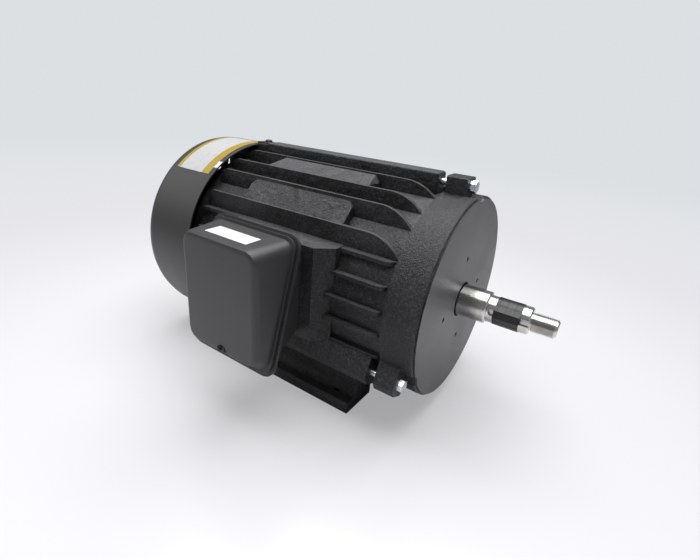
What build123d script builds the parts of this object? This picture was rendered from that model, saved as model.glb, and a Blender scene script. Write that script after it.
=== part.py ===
from build123d import *
import math
import os

# Three-phase induction motor, foot mounted, totally enclosed and fan cooled.
# Millimetres. X runs along the shaft towards the drive end, Z is up, and the
# terminal box stands out towards -Y. The origin is the centre of the drive-end
# face, on the shaft axis. Angles about the shaft start at the top and turn
# towards the terminal box.

# Overall layout along the shaft
bracket_depth = 32.0
frame_length = 230.0
shaft_height = 114.3

# Frame casting
barrel_radius = 93.5
stator_seat_radius = 82.5
fin_thickness = 3.8
fin_tip_radius = 105.0
low_fin_tip_radius = 102.0
top_fin_offsets = (18.0, 43.0, 59.0, 77.0)
bottom_fin_offsets = (12.0, 34.0)
fin_runout = 31.0
fin_rear_runout = 9.0
fin_end_gap = 2.0
rib_heights = (48.0, 29.0, 8.0, -13.0, -36.0)
rib_thickness = 3.4
rib_tip_radius = 98.2
rib_runout = 8.0
pad_length = 102.0
pad_end_slope = 9.0
pad_drop = 0.8
fin_root_depth = 6.0
rib_root_depth = 5.0

# Tie-bolt bars on the frame and the matching lugs on the bracket
bolt_circle_radius = 104.0
bar_width = 20.0
bar_top = 112.0
bar_front_gap = 7.0
bar_rear_gap = 5.0
bar_round = 2.0
lug_length = 19.0
lug_set_back = 12.0
low_bar_profile = ((86.0, -32.0), (94.0, -38.5), (100.5, -54.0), (97.0, -61.5), (84.0, -68.0), (66.0, -56.0))

# Feet
foot_front_inset = 30.0
foot_length = 140.0
foot_outer = 86.5
foot_inner = 44.0
foot_thickness = 12.0
foot_web_outer = 70.0
foot_web_inner = 54.0
foot_web_round = 9.0
foot_web_round_height = 11.0
foot_inner_round_height = 6.0
foot_inner_lip = 1.0
foot_web_sink = 4.0
foot_hole_spacing_x = 100.0
foot_hole_spacing_y = 144.0
foot_hole_radius = 5.0

# Drive-end bracket
face_radius = 95.0
band_radius = 97.0
face_step = 1.5
face_wall = 9.0
rim_inner_radius = 78.0
spigot_length = 6.0
hub_wall = 8.0
hub_length = 21.0
tool_notch_radius = 11.5
lug_drop = 0.5
band_chamfer = 1.0
face_hole_radius = 2.5
face_hole_circle_radius = 42.0
face_hole_turn = 8.0
face_hole_count = 4
seal_radius = 22.0
seal_depth = 6.0
seal_lip_gap = 0.3
seal_lip_height = 2.5

# Fan-end bracket
fan_bracket_wall = 10.0
fan_hub_wall = 7.0
fan_spring_room = 1.5
fan_hub_floor = 3.0
fan_bracket_screws = 4
fan_bracket_screw_turn = 45.0
fan_bearing_inset = 4.5
fan_hub_lip = 1.0

# Shaft
root_radius = 15.0
drive_journal_radius = 16.0
journal_proud = 1.0
root_length = 27.0
key_seat_radius = 12.5
key_seat_length = 37.0
thread_radius = 9.0
thread_length = 22.0
core_seat_radius = 20.0
shaft_shoulder_radius = 18.5
shoulder_stand_off = 12.0
rear_shoulder_radius = 16.0
rear_journal_radius = 12.5
fan_seat_radius = 11.0
shaft_tail = 3.0
shaft_chamfer = 1.2
keyway_turn = 82.0
key_width = 6.0
key_height = 5.0
keyway_depth = 3.4
keyway_start = 28.5
key_start = 34.5
key_length = 20.5
tape_start = 33.5
tape_length = 22.5
tape_thickness = 0.4

# Bearings: bore radius comes from the journal
drive_bearing_outer = 32.5
drive_bearing_width = 17.0
drive_ball_radius = 4.7
drive_ball_count = 9
fan_bearing_outer = 26.0
fan_bearing_width = 15.0
fan_ball_radius = 3.9
fan_ball_count = 9
ball_steps = 6
race_thickness = 4.4
ball_clearance = 0.3
shield_thickness = 1.0
shield_gap = 0.4
cage_width = 4.0
cage_thickness = 1.6
snap_ring_thickness = 1.5
snap_ring_depth = 1.6
snap_ring_width = 4.3
snap_ring_mouth = 8.0
spring_width = 4.0
spring_wave = 0.9
spring_wave_length = 12.0
spring_waves = 3

# Stator and rotor
core_length = 110.0
core_rearward = 3.0
bore_radius = 50.0
air_gap = 0.5
stator_slots = 24
slot_width = 6.4
slot_mouth = 2.6
slot_inner_radius = 53.0
slot_outer_radius = 70.0
slot_liner = 0.3
end_turn_length = 28.0
end_turn_growth = 4.0
end_turn_flare = 5.0
end_turn_corner = 4.0
coil_gap = 0.5
rotor_bar_count = 20
rotor_bar_width = 5.0
rotor_bar_height = 9.0
rotor_bar_circle_radius = 43.0
end_ring_thickness = 10.0
end_ring_inner_radius = 30.0
end_ring_inset = 1.0
end_ring_blade_count = 8
end_ring_blade_height = 12.0
end_ring_blade_thickness = 2.5

# Fan and fan cover
cover_radius = 109.0
cover_wall = 1.5
cover_rim_offset = 3.0
cover_length = 77.0
cover_corner = 16.0
cover_corner_steps = 4
cover_tab_seat = 110.0
cover_tab_reach = 14.0
cover_tab_width = 14.0
cover_screw_radius = 2.0
inner_slots_start = 34.0
inner_slots_length = 20.0
inner_slot_count = 18
outer_slots_start = 60.0
outer_slots_length = 24.0
outer_slot_count = 30
grille_slot_width = 4.5
fan_gap = 4.0
fan_plate_radius = 86.0
fan_plate_thickness = 2.5
fan_blade_height = 22.0
fan_blade_outer = 92.0
fan_blade_inner = 26.0
fan_blade_thickness = 2.5
fan_blade_count = 8
fan_dish = 6.0
fan_blade_root = 8.0
fan_hub_radius = 19.0
clip_thickness = 1.2
clip_width = 3.0
clip_groove = 1.0
clip_mouth = 7.0

# Terminal box
box_ahead_of_core = 5.0
box_z = 6.0
box_pad_y = 105.0
box_pad_width = 94.0
box_pad_over = 4.5
box_pad_slope = 13.5
lead_hole_radius = 13.0
lead_hole_drop = 16.0
gasket = 1.5
box_wall = 2.0
box_back_narrower = 21.0
box_back_lower = 28.0
parting_y = 139.0
parting_tilt = 15.0
parting_width = 91.0
parting_height = 112.0
flange_lip = 4.5
flange_thickness = 2.5
cover_gasket_thickness = 1.2
cover_gasket_width = 4.0
box_front_y = 166.0
box_front_narrower = 7.0
box_front_lower = 11.0
box_front_ahead = 1.0
box_front_rise = 3.0
box_corner_steps = 3
box_corner = 9.0
box_front_round = 4.5
screw_pocket_radius = 6.5
screw_pocket_wall = 1.8
screw_pocket_depth = 5.0
screw_pocket_rise = 11.5
screw_pocket_ahead = 3.5
screw_boss_width = 14.0
screw_boss_drop = 1.0
screw_boss_depth = 9.0
conduit_radius = 11.0
conduit_collar = 4.0
conduit_collar_length = 9.0
conduit_inset = 11.0
conduit_rise = 9.0
mount_screw_inset_x = 11.0
mount_screw_inset_z = 11.0

# Terminal block
block_width = 36.0
block_depth = 24.0
block_height = 9.0
block_rib = 2.0
barrier_rise = 3.0
block_inset = 20.5
post_rise = 6.0
post_length = 9.0
lead_radius = 8.0
lead_reach = 12.0
lead_inset = 6.0
grommet_lip = 2.0

# Fasteners: radius, width across flats, head height
m6_radius = 3.0
m6_flats = 10.0
m6_head = 4.0
m6_hole = 3.3
m6_washer = 1.6
m6_washer_radius = 5.4
lock_split = 0.7
m5_radius = 2.5
m5_head_radius = 4.6
m5_head = 3.0
m4_radius = 2.0
m4_head_radius = 3.8
m4_head = 2.4
m4_nut_radius = 4.0
m4_nut = 3.0
cover_screw_length = 7.0
box_cover_screw_length = 18.0
mount_screw_length = 12.0
bolt_engagement = 18.0
bolt_end_gap = 2.0
cover_tap_depth = 9.0
box_tap_depth = 12.0

# Clearances
fit = 0.02
shaft_hole_gap = 1.0
thread_gap = 0.05
cut_over = 1.0
long_cut = 40.0
loose = 0.3

# Places that follow from the sizes
seam_x = -bracket_depth
core_centre_x = seam_x - frame_length / 2 - core_rearward
frame_rear_x = seam_x - frame_length
bar_front_x = seam_x - bar_front_gap
bar_rear_x = frame_rear_x + bar_rear_gap
foot_front_x = seam_x - foot_front_inset
foot_rear_x = foot_front_x - foot_length
foot_mid_x = (foot_front_x + foot_rear_x) / 2
lug_front_x = -lug_set_back
lug_rear_x = lug_front_x - lug_length
drive_bearing_x = -face_wall - fit - drive_bearing_width / 2
drive_bearing_rear_x = drive_bearing_x - drive_bearing_width / 2
fan_bearing_x = frame_rear_x - fan_bearing_inset - fan_bearing_width / 2
fan_bearing_rear_x = fan_bearing_x - fan_bearing_width / 2
fan_shoulder_x = fan_bearing_rear_x - fan_spring_room
fan_hub_rear_x = fan_shoulder_x - fan_hub_floor
shaft_tip_x = root_length + key_seat_length + thread_length
fan_front_x = fan_hub_rear_x - fan_gap
fan_hub_end_x = fan_front_x - fan_blade_height - fan_plate_thickness
cover_rim_x = frame_rear_x + cover_rim_offset
cover_rear_x = cover_rim_x - cover_length
box_back_y = box_pad_y + gasket
box_x = core_centre_x + box_ahead_of_core
box_back_width = parting_width - box_back_narrower
box_back_height = parting_height - box_back_lower
box_front_width = parting_width - box_front_narrower
box_front_height = parting_height - box_front_lower
box_pad_height = box_back_height + box_pad_over
lead_hole_z = box_z - lead_hole_drop
screw_pocket_x = box_x + screw_pocket_ahead
screw_pocket_z = box_z - parting_height / 2 + screw_pocket_rise
conduit_y = parting_y - conduit_inset
cover_screw_y = box_front_y - screw_pocket_depth - box_cover_screw_length / 2
mount_screw_spacing_x = box_back_width - 2 * mount_screw_inset_x
mount_screw_spacing_z = box_back_height - 2 * mount_screw_inset_z
block_z = box_z + box_back_height / 2 - block_inset
tap_hole = m6_radius + thread_gap
bolt_angles = (0.0, 120.0, -120.0)


def bar_along_x(outline, x_low, x_high):
    """Prism along X from (y, z) corners."""
    corners = [(x_low, y, z) for y, z in outline]
    face = make_face(Polyline(*corners, close=True))
    return extrude(face, amount=x_high - x_low, dir=(1, 0, 0))


def round_bar(x_low, x_high, radius):
    """Cylinder on the shaft axis."""
    return Pos((x_low + x_high) / 2, 0, 0) * Rot(0, 90, 0) * Cylinder(radius, x_high - x_low)


def turned(outline):
    """Solid turned about the shaft axis from (x, radius) corners."""
    corners = [(x, 0, r) for x, r in outline]
    return revolve(make_face(Polyline(*corners, close=True)), axis=Axis.X)


def around(angle):
    """Turn about the shaft from the top towards the terminal box."""
    return Rot(angle, 0, 0)


def mirrored(points):
    """The same outline on the side away from the terminal box."""
    return [(-y, z) for y, z in reversed(points)]


def low_bar_outline():
    return [(-y, z) for y, z in low_bar_profile]


def hex_screw(radius, length, flats, head):
    """Screw along Z: hexagon head above z = 0, shank below."""
    body = extrude(RegularPolygon(flats / math.sqrt(3), 6), head)
    body = body & Pos(0, 0, head / 2) * Cylinder(flats / math.sqrt(3) * 0.985, head)
    return body + Pos(0, 0, -length / 2) * Cylinder(radius, length)


def pan_screw(radius, length, head_radius, head):
    """Screw along Z: domed cross-slot head above z = 0, shank below."""
    dome = Pos(0, 0, head / 2) * Cylinder(head_radius, head)
    dome = chamfer(dome.edges().group_by(Axis.Z)[-1], head * 0.45)
    slot = Pos(0, 0, head) * Box(head_radius * 1.1, head_radius * 0.22, head * 0.9)
    body = dome - slot - Rot(0, 0, 90) * slot
    return body + Pos(0, 0, -length / 2) * Cylinder(radius, length)


# Frame: one grey-iron casting with the stator seat bored through it


def fin(offset, tip_radius, root_radius):
    """Upright cooling fin that sweeps down into the barrel at the drive end."""
    tip = math.sqrt(tip_radius**2 - offset**2)
    root = math.sqrt(root_radius**2 - offset**2) - 1.0
    base = root - fin_root_depth
    front = seam_x - fin_end_gap
    rear = frame_rear_x + fin_end_gap
    full = (front - fin_runout, 0, tip)
    back = (rear + fin_rear_runout, 0, tip)
    sweep = TangentArc(full, (front, 0, root), tangent=(1, 0, 0))
    tail = TangentArc(back, (rear, 0, tip - fin_rear_runout), tangent=(-1, 0, 0))
    edges = [
        Line(back, full),
        sweep,
        Line((front, 0, root), (front, 0, base)),
        Line((front, 0, base), (rear, 0, base)),
        Line((rear, 0, base), (rear, 0, tip - fin_rear_runout)),
        tail,
    ]
    plate = extrude(make_face(edges), amount=fin_thickness, dir=(0, 1, 0))
    return Pos(0, offset - fin_thickness / 2, 0) * plate


def side_rib(height, x_low, x_high, sign):
    """Low rib along the side wall, swept into the wall at its drive end."""
    tip = math.sqrt(rib_tip_radius**2 - height**2)
    root = math.sqrt(barrel_radius**2 - height**2) - 1.0
    low = root - rib_root_depth
    start = (x_low, sign * low, 0)
    edges = [
        Line(start, (x_low, sign * tip, 0)),
        Line((x_low, sign * tip, 0), (x_high - rib_runout, sign * tip, 0)),
        TangentArc((x_high - rib_runout, sign * tip, 0), (x_high, sign * root, 0), tangent=(1, 0, 0)),
        Line((x_high, sign * root, 0), (x_high, sign * low, 0)),
        Line((x_high, sign * low, 0), start),
    ]
    plate = extrude(make_face(edges), amount=rib_thickness, dir=(0, 0, 1))
    return Pos(0, 0, height - rib_thickness / 2) * plate


def fin_pad(first, second, first_tip, second_tip):
    """Flat cast pad that fills the valley between two fins, over the core."""
    top_a = math.sqrt(first_tip**2 - first**2) - pad_drop
    top_b = math.sqrt(second_tip**2 - second**2) - pad_drop
    low_a = math.sqrt(barrel_radius**2 - first**2) - 4.0
    low_b = math.sqrt(barrel_radius**2 - second**2) - 4.0
    across = [(first, top_a), (second, top_b), (second, low_b), (first, low_a)]
    half = pad_length / 2
    body = bar_along_x(across, core_centre_x - half - pad_end_slope, core_centre_x + half + pad_end_slope)
    high = max(top_a, top_b)
    for side in (-1, 1):
        tool = Pos(core_centre_x + side * (half + pad_end_slope), 0, high) * Rot(0, side * 50, 0)
        body -= tool * Box(12.0 + pad_end_slope, 4 * barrel_radius, pad_end_slope)
    return body


def top_bar():
    half = bar_width / 2
    outline = [(-half, barrel_radius - 8), (half, barrel_radius - 8), (half, bar_top), (-half, bar_top)]
    bar = bar_along_x(outline, bar_rear_x, bar_front_x)
    long_edges = bar.edges().filter_by(Axis.X).group_by(Axis.Z)[-1]
    bar = fillet(long_edges, bar_round)
    return fillet(bar.edges().group_by(Axis.X)[-1].sort_by(Axis.Z)[-1], bar_round * 1.5)


def foot():
    """Foot rail and its web, on the terminal box side."""
    floor = -shaft_height
    top = floor + foot_thickness
    under_bar = low_bar_profile[4][1] + foot_web_sink
    web_start = -foot_web_outer - foot_web_round
    web_top = top + foot_web_round_height
    inner_top = top + foot_inner_round_height
    lip = top - foot_inner_lip
    edges = [
        Line((0, -foot_inner, floor), (0, -foot_outer, floor)),
        Line((0, -foot_outer, floor), (0, -foot_outer, top)),
        Line((0, -foot_outer, top), (0, web_start, top)),
        TangentArc((0, web_start, top), (0, -foot_web_outer, web_top), tangent=(0, 1, 0)),
        Line((0, -foot_web_outer, web_top), (0, -foot_web_outer, under_bar)),
        Line((0, -foot_web_outer, under_bar), (0, -foot_web_inner, under_bar)),
        Line((0, -foot_web_inner, under_bar), (0, -foot_web_inner, inner_top)),
        TangentArc((0, -foot_web_inner, inner_top), (0, -foot_inner, lip), tangent=(0, 0, -1)),
        Line((0, -foot_inner, lip), (0, -foot_inner, floor)),
    ]
    rail = extrude(make_face(edges), amount=foot_length, dir=(1, 0, 0))
    rail = Pos(foot_rear_x, 0, 0) * rail
    for side in (-1, 1):
        x = foot_mid_x + side * foot_hole_spacing_x / 2
        hole = Cylinder(foot_hole_radius, foot_thickness + 2 * cut_over)
        rail -= Pos(x, -foot_hole_spacing_y / 2, floor + foot_thickness / 2) * hole
    return rail


def box_pad():
    """Boss that carries the terminal box, sloped down to the wall at both ends."""
    half = box_pad_width / 2
    inner = box_pad_y - box_pad_slope
    plan = [
        (box_x - half, -box_pad_y),
        (box_x + half, -box_pad_y),
        (box_x + half + box_pad_slope, -inner),
        (box_x + half + box_pad_slope, -stator_seat_radius + 12),
        (box_x - half - box_pad_slope, -stator_seat_radius + 12),
        (box_x - half - box_pad_slope, -inner),
    ]
    low = box_z - box_pad_height / 2
    face = make_face(Polyline(*[(x, y, low) for x, y in plan], close=True))
    return extrude(face, amount=box_pad_height, dir=(0, 0, 1))


def make_frame():
    body = round_bar(frame_rear_x, seam_x, barrel_radius)
    tips = [fin_tip_radius, fin_tip_radius, fin_tip_radius, low_fin_tip_radius]
    for side in (-1, 1):
        for offset, tip in zip(top_fin_offsets, tips):
            body += fin(side * offset, tip, barrel_radius)
        for offset in bottom_fin_offsets:
            body += Rot(180, 0, 0) * fin(side * offset, low_fin_tip_radius, barrel_radius)
        first, second, third, fourth = [side * offset for offset in top_fin_offsets]
        body += fin_pad(first, second, fin_tip_radius, fin_tip_radius)
        body += fin_pad(third, fourth, fin_tip_radius, low_fin_tip_radius)
        for height in rib_heights:
            body += side_rib(height, frame_rear_x + fin_end_gap, seam_x - fin_end_gap, side)
    body += top_bar()
    low_bar = bar_along_x(low_bar_outline(), bar_rear_x, bar_front_x)
    body += low_bar + mirror(low_bar, Plane.XZ)
    rail = foot()
    body += rail + mirror(rail, Plane.XZ)
    body += box_pad()
    body -= round_bar(frame_rear_x - cut_over, seam_x + cut_over, stator_seat_radius)
    for angle in bolt_angles:
        hole = round_bar(bar_front_x - bolt_engagement, bar_front_x + cut_over, tap_hole)
        body -= around(angle) * Pos(0, 0, bolt_circle_radius) * hole
        tab_x = bar_rear_x + cover_tab_reach / 2
        seat_cut = Box(cover_tab_reach + 3 * cut_over, 3 * bar_width, bar_width)
        seat = Pos(tab_x - cut_over, 0, cover_tab_seat + bar_width / 2) * seat_cut
        body -= around(angle) * seat
        screw = Cylinder(cover_screw_radius + thread_gap, 2 * cover_tap_depth)
        body -= around(angle) * Pos(tab_x, 0, cover_tab_seat) * screw
    for angle in fan_bracket_screw_angles():
        hole = round_bar(frame_rear_x - cut_over, frame_rear_x + bolt_engagement, tap_hole)
        body -= around(angle) * Pos(0, 0, (barrel_radius + stator_seat_radius) / 2) * hole
    lead_hole = Rot(90, 0, 0) * Cylinder(lead_hole_radius, 2 * (box_pad_y - stator_seat_radius + box_tap_depth))
    body -= Pos(box_x, -box_pad_y, lead_hole_z) * lead_hole
    for x, z in box_screw_places():
        body -= Pos(x, -box_pad_y, z) * Rot(90, 0, 0) * Cylinder(m5_radius + thread_gap, 2 * box_tap_depth)
    return body


def fan_bracket_screw_angles():
    return [fan_bracket_screw_turn + i * 360 / fan_bracket_screws for i in range(fan_bracket_screws)]


def box_screw_places():
    half_x = mount_screw_spacing_x / 2
    half_z = mount_screw_spacing_z / 2
    return [(box_x + i * half_x, box_z + k * half_z) for i in (-1, 1) for k in (-1, 1)]


# End brackets


def lug(angle):
    """Tie-bolt lug on the drive-end bracket, matching the bar on the frame."""
    if angle == 0:
        half = bar_width / 2
        top = bar_top - lug_drop
        outline = [(-half, barrel_radius - 4), (half, barrel_radius - 4), (half, top), (-half, top)]
        block = bar_along_x(outline, lug_rear_x, lug_front_x)
        return fillet(block.edges().filter_by(Axis.X).group_by(Axis.Z)[-1], bar_round)
    outline = low_bar_outline() if angle > 0 else mirrored(low_bar_outline())
    return bar_along_x(outline, lug_rear_x, lug_front_x)


def make_drive_end_bracket():
    hub_rear = -face_wall - hub_length
    hub_radius = drive_bearing_outer + hub_wall
    front_hole = drive_journal_radius + shaft_hole_gap
    spigot = stator_seat_radius - fit
    body = turned([
        (0, front_hole), (0, face_radius), (-face_step, face_radius), (-face_step, band_radius - band_chamfer),
        (-face_step - band_chamfer, band_radius), (seam_x, band_radius), (seam_x, spigot),
        (seam_x - spigot_length, spigot), (seam_x - spigot_length, rim_inner_radius),
        (-face_wall, rim_inner_radius), (-face_wall, hub_radius), (hub_rear, hub_radius),
        (hub_rear, drive_bearing_outer + fit), (-face_wall, drive_bearing_outer + fit),
        (-face_wall, seal_radius), (-face_wall + seal_depth, seal_radius),
        (-face_wall + seal_depth, front_hole),
    ])
    bore_clear = round_bar(hub_rear - long_cut, -face_wall, drive_bearing_outer + fit)
    inner_clear = round_bar(seam_x - spigot_length - long_cut, -face_wall, rim_inner_radius)
    inner_clear -= round_bar(hub_rear, -face_wall, hub_radius)
    for angle in bolt_angles:
        body += lug(angle)
    for angle in bolt_angles:
        at_bolt = around(angle) * Pos(0, 0, bolt_circle_radius)
        body -= at_bolt * round_bar(lug_rear_x - cut_over, lug_front_x + cut_over, m6_hole)
        body -= at_bolt * round_bar(lug_front_x, cut_over, tool_notch_radius)
    body -= inner_clear + bore_clear
    for i in range(face_hole_count):
        hole = round_bar(-face_wall - cut_over, cut_over, face_hole_radius)
        body -= around(face_hole_turn + 360 * i / face_hole_count) * Pos(0, 0, face_hole_circle_radius) * hole
    groove_front = drive_bearing_rear_x
    groove_rear = groove_front - snap_ring_thickness - 2 * thread_gap
    groove = round_bar(groove_rear, groove_front, drive_bearing_outer + snap_ring_depth)
    return body - groove


def make_fan_end_bracket():
    hub_radius = fan_bearing_outer + fan_hub_wall
    plate_rear = frame_rear_x - fan_bracket_wall
    bore = fan_bearing_outer + fit
    spigot = stator_seat_radius - fit
    hub_front = fan_bearing_x + fan_bearing_width / 2 + fan_hub_lip
    body = turned([
        (frame_rear_x, barrel_radius), (plate_rear, barrel_radius), (plate_rear, hub_radius),
        (fan_hub_rear_x, hub_radius), (fan_hub_rear_x, rear_journal_radius + shaft_hole_gap),
        (fan_shoulder_x, rear_journal_radius + shaft_hole_gap), (fan_shoulder_x, bore),
        (hub_front, bore), (hub_front, hub_radius), (frame_rear_x, hub_radius),
        (frame_rear_x, rim_inner_radius), (frame_rear_x + spigot_length, rim_inner_radius),
        (frame_rear_x + spigot_length, spigot), (frame_rear_x, spigot),
    ])
    for angle in fan_bracket_screw_angles():
        hole = round_bar(plate_rear - cut_over, frame_rear_x + cut_over, m6_hole)
        body -= around(angle) * Pos(0, 0, (barrel_radius + stator_seat_radius) / 2) * hole
    return body


# Stator


def make_stator_core():
    half = core_length / 2
    body = round_bar(core_centre_x - half, core_centre_x + half, stator_seat_radius - fit)
    body -= round_bar(core_centre_x - half, core_centre_x + half, bore_radius)
    depth = slot_outer_radius - slot_inner_radius
    long = core_length + 2 * cut_over
    slot = Pos(core_centre_x, 0, slot_inner_radius + depth / 2) * Box(long, slot_width, depth)
    mouth_height = slot_inner_radius - bore_radius + 2.0
    mouth = Pos(core_centre_x, 0, slot_inner_radius - mouth_height / 2 + 0.5) * Box(long, slot_mouth, mouth_height)
    tools = [around(i * 360 / stator_slots) * (slot + mouth) for i in range(stator_slots)]
    return body - tools


def make_stator_winding():
    """Coil sides in the slots, joined by the bound end turns at both ends."""
    half = core_length / 2
    inner = slot_inner_radius + slot_liner
    outer = slot_outer_radius - slot_liner
    crown = outer + end_turn_growth
    rings = []
    for side in (-1, 1):
        start = core_centre_x + side * (half + slot_liner)
        end = start + side * end_turn_length
        ring = turned([
            (start, inner), (start, outer), (start + side * end_turn_flare, crown),
            (end - side * end_turn_corner, crown), (end, crown - end_turn_corner),
            (end, inner + end_turn_corner), (end - side * end_turn_corner, inner),
        ])
        rings.append(ring)
    length = core_length + 2 * slot_liner
    coil_side = Box(length, slot_width - 2 * slot_liner, outer - inner - 2 * coil_gap)
    coil_side = Pos(core_centre_x, 0, (inner + outer) / 2) * coil_side
    sides = [around(i * 360 / stator_slots) * coil_side for i in range(stator_slots)]
    return rings[0] + rings[1] + sides


# Rotor


def make_rotor_core():
    half = core_length / 2
    body = round_bar(core_centre_x - half, core_centre_x + half, bore_radius - air_gap)
    body -= round_bar(core_centre_x - half, core_centre_x + half, core_seat_radius + fit)
    hole = Box(core_length, rotor_bar_width + 2 * fit, rotor_bar_height + 2 * fit)
    place = Pos(core_centre_x, 0, rotor_bar_circle_radius)
    return body - [around(i * 360 / rotor_bar_count) * place * hole for i in range(rotor_bar_count)]


def make_rotor_cage():
    """Cast bars and end rings, with small mixing blades on the rings."""
    half = core_length / 2
    ring_outer = bore_radius - air_gap - end_ring_inset
    bar = Box(core_length + 2 * fit, rotor_bar_width, rotor_bar_height)
    place = Pos(core_centre_x, 0, rotor_bar_circle_radius)
    body = [around(i * 360 / rotor_bar_count) * place * bar for i in range(rotor_bar_count)]
    whole = Part() + body
    for side in (-1, 1):
        near = core_centre_x + side * (half + fit)
        far = near + side * end_ring_thickness
        low, high = min(near, far), max(near, far)
        whole += round_bar(low, high, ring_outer) - round_bar(low, high, end_ring_inner_radius)
        blade_x = far + side * end_ring_blade_height / 2
        blade = Pos(blade_x, 0, (ring_outer + end_ring_inner_radius) / 2)
        blade_reach = ring_outer - end_ring_inner_radius - 2 * end_ring_inset
        blade = blade * Box(end_ring_blade_height, end_ring_blade_thickness, blade_reach)
        whole += [around(i * 360 / end_ring_blade_count) * blade for i in range(end_ring_blade_count)]
    return whole


def make_shaft():
    core_half = core_length / 2
    core_front = core_centre_x + core_half
    core_rear = core_centre_x - core_half
    drive_shoulder = drive_bearing_rear_x
    fan_shoulder = fan_bearing_x + fan_bearing_width / 2
    fan_seat_end = fan_shoulder_x
    groove_x = fan_hub_end_x
    clip_low = groove_x - clip_thickness - 4 * fit
    rear_end = clip_low - shaft_tail
    c = shaft_chamfer
    body = turned([
        (rear_end, 0), (rear_end, fan_seat_radius - c), (rear_end + c, fan_seat_radius),
        (clip_low, fan_seat_radius), (clip_low, fan_seat_radius - clip_groove),
        (groove_x, fan_seat_radius - clip_groove), (groove_x, fan_seat_radius),
        (fan_seat_end, fan_seat_radius), (fan_seat_end, rear_journal_radius),
        (fan_shoulder, rear_journal_radius), (fan_shoulder, rear_shoulder_radius),
        (core_rear - shoulder_stand_off, rear_shoulder_radius), (core_rear - shoulder_stand_off, core_seat_radius),
        (core_front + shoulder_stand_off, core_seat_radius),
        (core_front + shoulder_stand_off, shaft_shoulder_radius),
        (drive_shoulder, shaft_shoulder_radius), (drive_shoulder, drive_journal_radius),
        (journal_proud, drive_journal_radius), (journal_proud, root_radius),
        (root_length - c, root_radius), (root_length, root_radius - c), (root_length, key_seat_radius),
        (root_length + key_seat_length - c, key_seat_radius),
        (root_length + key_seat_length, key_seat_radius - c),
        (root_length + key_seat_length, thread_radius),
        (shaft_tip_x - c, thread_radius), (shaft_tip_x, thread_radius - c), (shaft_tip_x, 0),
    ])
    end = root_length + key_seat_length
    middle = (keyway_start + key_width / 2 + end) / 2 + cut_over / 2
    length = end - keyway_start - key_width / 2 + cut_over
    floor = key_seat_radius - keyway_depth
    way = Pos(middle, 0, floor + key_seat_radius / 2) * Box(length, key_width, key_seat_radius)
    nose = Pos(keyway_start + key_width / 2, 0, floor + key_seat_radius / 2)
    way += nose * Cylinder(key_width / 2, key_seat_radius)
    return body - around(keyway_turn) * way


def make_shaft_key():
    floor = key_seat_radius - keyway_depth
    middle = key_start + key_length / 2
    key = Box(key_length, key_width - 2 * fit, key_height)
    key = fillet(key.edges().filter_by(Axis.Z), key_width / 2 - 10 * fit)
    return around(keyway_turn) * Pos(middle, 0, floor + fit + key_height / 2) * key


def make_key_tape():
    """Tape wound over the key to hold it: round on the shaft, straight up to the key's corners."""
    outer = round_bar(tape_start, tape_start + tape_length, key_seat_radius + tape_thickness + fit)
    key_top = key_seat_radius - keyway_depth + key_height + 2 * fit
    ridge_height = key_top + tape_thickness
    top_half = key_width / 2 + tape_thickness
    middle_radius = key_seat_radius + tape_thickness / 2 + fit
    corner_radius = math.hypot(top_half, ridge_height)
    foot_turn = math.atan2(top_half, ridge_height) + math.acos(middle_radius / corner_radius)
    foot_half = middle_radius * math.sin(foot_turn)
    foot_height = middle_radius * math.cos(foot_turn)
    outline = [
        (-foot_half, foot_height), (foot_half, foot_height), (top_half, ridge_height), (-top_half, ridge_height),
    ]
    outer += around(keyway_turn) * bar_along_x(outline, tape_start, tape_start + tape_length)
    inner = round_bar(tape_start, tape_start + tape_length, key_seat_radius + fit)
    key_room = Pos(tape_start + tape_length / 2, 0, key_top / 2)
    key_room = key_room * Box(tape_length, key_width + 2 * fit, key_top)
    return outer - inner - around(keyway_turn) * key_room


# Bearings


def turned_ball(radius):
    """Ball drawn as a turned outline of short straight steps."""
    turns = [math.pi * i / ball_steps for i in range(ball_steps + 1)]
    corners = [(radius * math.sin(t), 0, radius * math.cos(t)) for t in turns]
    return revolve(make_face(Polyline(*corners, close=True)), axis=Axis.Z)


def make_bearing(middle, bore, outer, width, ball, count):
    """Outer race with shields, inner race, and the caged ball set."""
    low, high = middle - width / 2, middle + width / 2
    pitch = (bore + outer) / 2
    room = ball + ball_clearance
    inner_top = bore + race_thickness
    outer_low = outer - race_thickness
    lip = inner_top + shield_gap
    deep_half = room * math.sin(math.pi / 8)
    deep = room / math.cos(math.pi / 8)
    outer_half = math.sqrt(deep**2 - (outer_low - pitch) ** 2)
    inner_half = math.sqrt(deep**2 - (pitch - inner_top) ** 2)
    outer_race = turned([
        (low, outer), (high, outer), (high, lip), (high - shield_thickness, lip),
        (high - shield_thickness, outer_low), (middle + outer_half, outer_low), (middle + deep_half, pitch + room),
        (middle - deep_half, pitch + room), (middle - outer_half, outer_low),
        (low + shield_thickness, outer_low), (low + shield_thickness, lip), (low, lip),
    ])
    inner_race = turned([
        (low, bore + fit), (high, bore + fit), (high, inner_top), (middle + inner_half, inner_top),
        (middle + deep_half, pitch - room), (middle - deep_half, pitch - room),
        (middle - inner_half, inner_top), (low, inner_top),
    ])
    cage = round_bar(middle - cage_width / 2, middle + cage_width / 2, pitch + cage_thickness / 2)
    cage -= round_bar(middle - cage_width / 2, middle + cage_width / 2, pitch - cage_thickness / 2)
    balls = [around(i * 360 / count) * Pos(middle, 0, pitch) * turned_ball(ball) for i in range(count)]
    return outer_race, inner_race, cage + balls


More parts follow.
